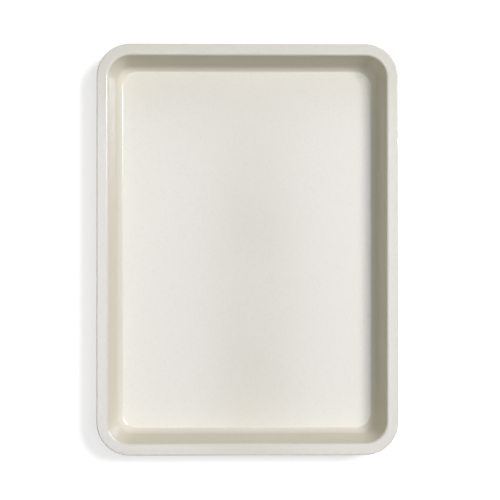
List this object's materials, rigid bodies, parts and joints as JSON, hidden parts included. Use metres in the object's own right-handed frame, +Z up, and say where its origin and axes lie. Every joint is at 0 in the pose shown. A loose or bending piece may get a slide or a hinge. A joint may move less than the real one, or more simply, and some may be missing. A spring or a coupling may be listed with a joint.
{
  "type": "quarter sheet pan",
  "caption": "Shallow rectangular baking tray with slanted walls, drawn corners and a flat rim rolled round a stiffening wire, coated in off-white ceramic.",
  "frame": {"origin": "on the table under the middle of the pan", "axes": "+Z up out of the pan, +Y along its long side, +X along its short side"},
  "size_m": [0.242, 0.33, 0.0254],
  "materials": {
    "ceramic_coating": "satin",
    "steel_wire": "satin"
  },
  "bodies": {
    "root": {"pan_body": "ceramic_coating", "rim_wire": "steel_wire"}
  },
  "joints": []
}
